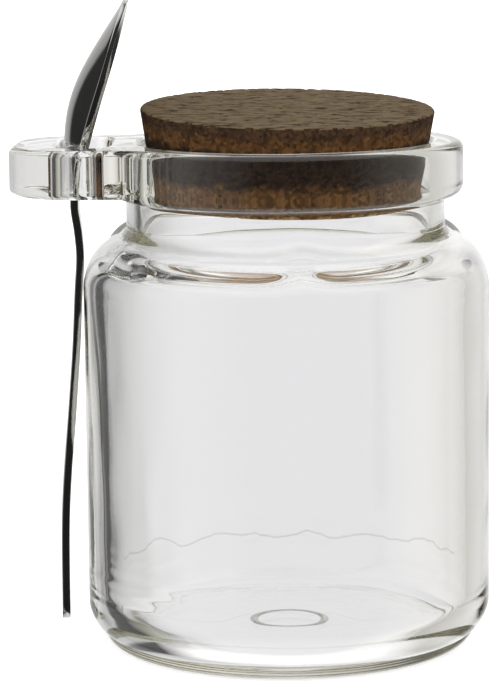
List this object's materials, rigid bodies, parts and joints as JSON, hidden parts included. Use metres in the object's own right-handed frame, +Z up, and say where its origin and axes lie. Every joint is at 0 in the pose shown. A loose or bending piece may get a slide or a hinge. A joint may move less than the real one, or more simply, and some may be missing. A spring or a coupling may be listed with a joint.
{
  "type": "condiment jar",
  "caption": "Clear moulded glass condiment jar with a thick rim, a tapered cork stopper and a steel spoon hanging in a slotted lug on the rim.",
  "frame": {"origin": "on the surface that the jar stands on, under the middle of its outline seen from above, lug included", "axes": "+Z up along the jar's axis; +X from the lug towards the jar; +Y away from the viewer of the picture"},
  "size_m": [0.082, 0.07, 0.1117],
  "materials": {
    "clear_glass": "press-moulded clear soda-lime glass, fire-polished",
    "cork": "bare dark cork, cut and sanded",
    "polished_steel": "polished stainless steel"
  },
  "bodies": {
    "root": {"jar": "clear_glass", "cork": "cork", "spoon": "polished_steel"}
  },
  "joints": []
}
